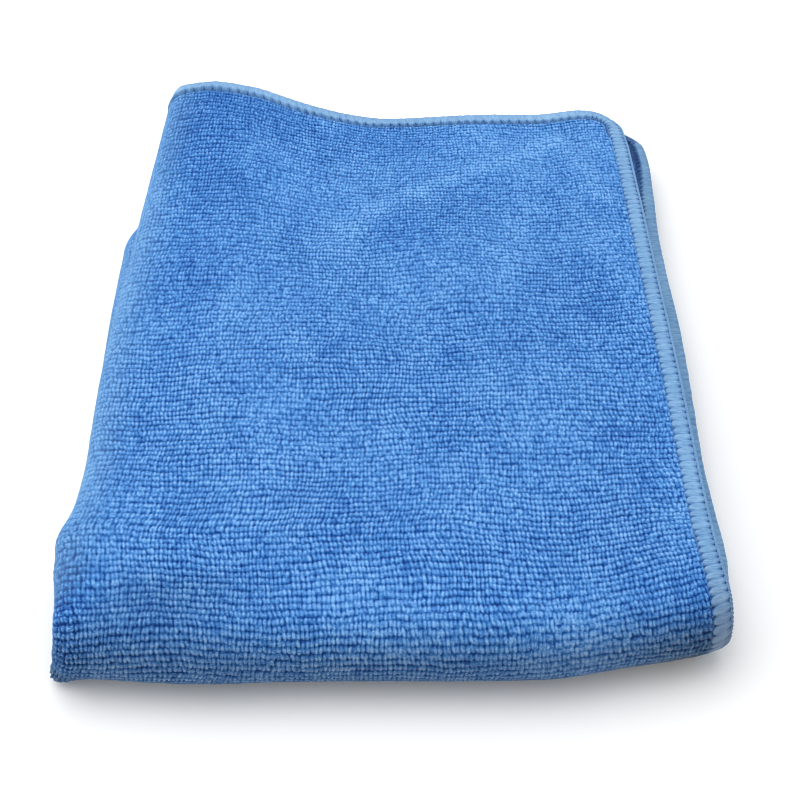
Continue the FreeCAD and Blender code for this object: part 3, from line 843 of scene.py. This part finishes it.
# ------------ materials
# Shares and colours of the painted shade at the front crease, and of the pale side crease, partly fuzzy
# pile and partly painted sheen.
SHADE_SHARE, FUZZ_SHEEN_SHARE = 0.52, 0.55
SHADE_GREY = (0.60, 0.25, 0.13, 1.0)
FUZZ_SHEEN_PALE = (0.165, 0.325, 0.52, 1.0)
# From the painted shade of the ground between loops to the painted highlight of their tips.
TERRY_BLUES = ((0.0, (0.004, 0.045, 0.245)), (0.28, (0.015, 0.111, 0.405)),
               (0.62, (0.063, 0.255, 0.655)), (1.0, (0.26, 0.52, 0.86)))
THREAD_BLUES = ((0.0, (0.012, 0.055, 0.20)), (0.35, (0.075, 0.20, 0.44)),
                (0.68, (0.168, 0.342, 0.585)), (1.0, (0.28, 0.485, 0.73)))


class Nodes:
    """A short way to add and join material nodes."""

    def __init__(self, name):
        self.material = bpy.data.materials.new(name)
        self.material.use_nodes = True
        self.tree = self.material.node_tree
        self.shader = self.tree.nodes["Principled BSDF"]

    def add(self, kind, inputs=(), **settings):
        node = self.tree.nodes.new(kind)
        for key, value in settings.items():
            setattr(node, key, value)
        for key, value in dict(inputs).items():
            if isinstance(value, bpy.types.NodeSocket):
                self.tree.links.new(value, node.inputs[key])
            else:
                node.inputs[key].default_value = value
        return node

    def layer(self, name):
        return self.add("ShaderNodeAttribute", attribute_name=name)

    def math(self, operation, a, b):
        return self.add("ShaderNodeMath", {0: a, 1: b}, operation=operation).outputs[0]

    def noise(self, vector, scale, detail=2.0, roughness=0.5):
        inputs = {"Vector": vector, "Scale": scale, "Detail": detail, "Roughness": roughness}
        return self.add("ShaderNodeTexNoise", inputs).outputs[0]

    def spread(self, value, low, high):
        """The value's middle span, from 0.3 to 0.7, stretched to low and high."""
        inputs = {"Value": value, "From Min": 0.3, "From Max": 0.7, "To Min": low, "To Max": high}
        return self.add("ShaderNodeMapRange", inputs).outputs[0]

    def ramp(self, value, stops):
        node = self.add("ShaderNodeValToRGB", {0: value})
        node.color_ramp.interpolation = "LINEAR"
        while len(node.color_ramp.elements) < len(stops):
            node.color_ramp.elements.new(0.5)
        for element, (at, colour) in zip(node.color_ramp.elements, stops):
            element.position = at
            element.color = (*colour, 1.0)
        return node.outputs[0]

    def finish(self, colour, relief, surface, bump_strength, bump_height):
        """Joins colour and relief to the shader, and sets its plain surface values."""
        self.tree.links.new(colour, self.shader.inputs["Base Color"])
        for key, value in surface.items():
            self.shader.inputs[key].default_value = value
        inputs = {"Height": relief, "Strength": bump_strength, "Distance": bump_height}
        bump = self.add("ShaderNodeBump", inputs)
        self.tree.links.new(bump.outputs[0], self.shader.inputs["Normal"])
        return self.material


def paint_shade_then_fuzz(m, colour, shade_fuzz, dark_share, pale_share):
    """The colour greyed by painted shade where the value is above 0, at the front crease, and paler
    below 0, where the side crease has fuzzy pile and painted sheen.
    """
    dark = m.math("MAXIMUM", m.math("MULTIPLY", shade_fuzz, dark_share), 0.0)
    pale = m.math("MAXIMUM", m.math("MULTIPLY", shade_fuzz, -pale_share), 0.0)
    greyed = m.add("ShaderNodeMix", {0: dark, 6: colour, 7: SHADE_GREY},
                   data_type="RGBA", blend_type="MULTIPLY").outputs[2]
    return m.add("ShaderNodeMix", {0: pale, 6: greyed, 7: FUZZ_SHEEN_PALE}, data_type="RGBA").outputs[2]


def terry_material():
    """Looped microfibre: painted shade on the ground between the loops, a painted highlight on their
    tips, soft drifts of tone.
    """
    m = Nodes("terry_pile")
    weave = m.layer("weave").outputs["Vector"]
    pile = m.layer("pile").outputs["Fac"]
    tone = m.layer("tone").outputs["Fac"]
    shade_fuzz = m.layer("shade_fuzz").outputs["Fac"]
    fibre = m.noise(weave, 4.2, 3.0, 0.65)
    fluff = m.noise(weave, 1.9, 2.0, 0.6)
    tuft = m.add("ShaderNodeTexVoronoi", {"Vector": weave, "Scale": 2.5}).outputs["Distance"]
    drift = m.noise(weave, 0.040, 3.0, 0.55)
    level = m.math("ADD", m.math("MULTIPLY", m.math("POWER", pile, 1.3), 0.90), 0.155)
    level = m.math("ADD", level, m.math("MULTIPLY", tone, 0.075))
    level = m.math("ADD", level, m.math("MULTIPLY", tuft, -0.34))
    level = m.math("ADD", level, m.spread(fibre, -0.28, 0.37))
    level = m.math("ADD", level, m.spread(fluff, -0.13, 0.13))
    level = m.math("ADD", level, m.spread(drift, -0.02, 0.02))
    # Painted shade greys the front crease; fuzzy pile and painted sheen pale the side crease.
    colour = paint_shade_then_fuzz(m, m.ramp(level, TERRY_BLUES), shade_fuzz, SHADE_SHARE, FUZZ_SHEEN_SHARE)
    relief = m.math("SUBTRACT", fibre, tuft)
    surface = {"Roughness": 0.9, "Specular IOR Level": 0.15, "Sheen Weight": 0.14,
               "Sheen Roughness": 0.5, "Sheen Tint": (0.62, 0.8, 1.0, 1.0)}
    return m.finish(colour, relief, surface, 0.7, 0.22 * MM)


# Each thread's material name, the scale of its strands along the weave, and its darkening, which is
# painted shade on the back looper, the hem's underside.
THREAD_LOOKS = {
    "face_looper": ("face_looper_thread", (7.0, 0.45, 0.3), (1, 1, 1)),
    "back_looper": ("back_looper_thread", (9.0, 0.4, 0.3), (0.90, 0.90, 0.88)),
    "strand": ("fine_thread", (2.2, 3.0, 1.0), (1, 1, 1)),
}


def thread_material(name, strands, darker):
    """Fluffy overlock thread: fine strands along each stitch, with painted shade where stitches part.
    """
    m = Nodes(name)
    weave = m.layer("weave").outputs["Vector"]
    pile = m.layer("pile").outputs["Fac"]
    tone = m.layer("tone").outputs["Fac"]
    shade_fuzz = m.layer("shade_fuzz").outputs["Fac"]
    scaled = m.add("ShaderNodeVectorMath", {0: weave, 1: strands}, operation="MULTIPLY").outputs[0]
    strand = m.noise(scaled, 1.0, 2.0, 0.55)
    drift = m.noise(weave, 0.09, 2.0, 0.5)
    level = m.math("ADD", m.math("MULTIPLY", pile, 0.72), m.math("MULTIPLY", tone, 0.04))
    level = m.math("ADD", level, m.spread(strand, -0.15, 0.15))
    level = m.math("ADD", level, m.spread(drift, -0.05, 0.05))
    shades = [(at, tuple(c * k for c, k in zip(blue, darker))) for at, blue in THREAD_BLUES]
    # Painted shade greys the threads by the front crease.
    colour = paint_shade_then_fuzz(m, m.ramp(level, shades), shade_fuzz, SHADE_SHARE, 0.0)
    surface = {"Roughness": 0.75, "Specular IOR Level": 0.2, "Sheen Weight": 0.14,
               "Sheen Roughness": 0.45}
    return m.finish(colour, strand, surface, 0.6, 0.20 * MM)


# ------------ the stage
FLOOR_SIDE_M = 6.0
SKY = 0.70  # strength of the white surround
# Each light's name, place, side and power. They look at the origin.
LIGHTS = (("overhead", (-0.2, 0.22, 0.95), 1.0, 6.9), ("left_fill", (-0.7, -0.1, 0.55), 0.6, 1.0))
CAMERA_PLACE_M = (0.0005, -0.223, 0.226)
CAMERA_DOWN, CAMERA_TURN = 47, -0.68  # degrees below level, and about the vertical
LENS_MM, SENSOR_MM = 51.5, 36.0


def make_floor():
    """A plain pale floor."""
    bpy.ops.mesh.primitive_plane_add(size=FLOOR_SIDE_M)
    floor = bpy.context.object
    floor.name = "floor"
    m = Nodes("floor_paper")
    m.shader.inputs["Base Color"].default_value = (0.93, 0.93, 0.93, 1.0)
    m.shader.inputs["Roughness"].default_value = 0.9
    m.shader.inputs["Specular IOR Level"].default_value = 0.1
    floor.data.materials.append(m.material)


def add_light(name, place_m, side_m, power):
    """A soft square light that looks at the origin."""
    light = bpy.data.lights.new(name, "AREA")
    light.shape, light.size, light.energy = "SQUARE", side_m, power
    lamp = bpy.data.objects.new(name, light)
    bpy.context.scene.collection.objects.link(lamp)
    lamp.location = place_m
    lamp.rotation_euler = (-Vector(place_m)).to_track_quat("-Z", "Y").to_euler()


def make_stage():
    """Floor, soft lights, a white surround and the camera."""
    make_floor()
    scene = bpy.context.scene
    scene.view_settings.view_transform = "Standard"
    scene.cycles.filter_width = 0.65
    world = bpy.data.worlds.new("studio")
    world.use_nodes = True
    background = world.node_tree.nodes["Background"]
    background.inputs["Color"].default_value = (1.0, 1.0, 1.0, 1.0)
    background.inputs["Strength"].default_value = SKY
    scene.world = world
    for name, place_m, side_m, power in LIGHTS:
        add_light(name, place_m, side_m, power)
    lens = bpy.data.cameras.new("camera")
    lens.sensor_width = SENSOR_MM
    lens.lens = LENS_MM
    lens.clip_start = 0.01
    camera = bpy.data.objects.new("camera", lens)
    scene.collection.objects.link(camera)
    camera.location = CAMERA_PLACE_M
    camera.rotation_euler = (math.radians(90 - CAMERA_DOWN), 0, math.radians(CAMERA_TURN))
    scene.camera = camera


# ------------ assembly
HALVES = {
    "lower": ("quarter_bottom", "quarter_lower_inner", "side_crease_lower"),
    "upper": ("quarter_top", "quarter_upper_inner", "side_crease_upper"),
}


def thread_nodes(kind, names):
    """The CAD nodes of one thread over these parts of the cloth."""
    return [f"{kind}_{name.replace('quarter_', '')}" for name in names]


def bend(piece, part):
    """Bakes the transform of a piece of the front crease into its mesh."""
    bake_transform(piece)


def make_threads(name, route, nodes, materials):
    """The loopers, their lock along the edge and the needle thread over one part of the hem."""
    made = []
    for kind, face in (("face_looper", True), ("back_looper", False)):
        band = make_band(f"{kind}_{name}", route, face, materials[kind])
        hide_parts(*thread_nodes(kind, nodes))
        made.append(band)
    made.append(make_strands(f"edge_lock_{name}", purl_strands(route), LOCK_RADIUS, 1.0,
                             materials["strand"]))
    # The needle thread gets a painted shade where it sinks among the loops.
    stitches = make_strands(f"needle_thread_{name}", needle_strand(route), NEEDLE_RADIUS, 0.6,
                            materials["strand"])
    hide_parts(*thread_nodes("needle_thread", nodes))
    return made + [stitches]


def build():
    """Every visible piece of the cloth; each piece of the two halves goes on the body that it moves
    with.
    """
    terry = terry_material()
    threads = {kind: thread_material(*look) for kind, look in THREAD_LOOKS.items()}
    roll_end = HALF_ROLL + ROLL_MARGIN
    inset_q = HALF_ROLL - CLOTH_INSET
    half_q = {"upper": lines(roll_end, inset_q + UPPER_LENGTH, FINE_Q),
              "lower": lines(-inset_q - LOWER_LENGTH, -roll_end, PLAIN_Q)}
    roll_q = lines(-roll_end, roll_end, FINE_Q)

    for half, nodes in HALVES.items():
        step = FINE_P if half == "upper" else PLAIN_STEP
        cloth = make_cloth(f"cloth_{half}_half", "both", half_q[half], step, terry)
        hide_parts(*nodes)
        hem = make_threads(f"{half}_half", hem_route(half), nodes, threads)
        for piece in [cloth] + hem:
            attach(piece, f"{half}_half")

    for part in ("outer", "inner"):
        nodes = [f"front_crease_{part}"]
        cloth = make_cloth(f"cloth_front_roll_{part}", part, roll_q, FINE_P, terry)
        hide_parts(*nodes, *(["corner_fold"] if part == "outer" else []))
        route = crease_route(part == "outer")
        hem = make_threads(f"front_roll_{part}", route, nodes, threads)
        for piece in [cloth] + hem:
            bend(piece, part)


make_stage()
build()
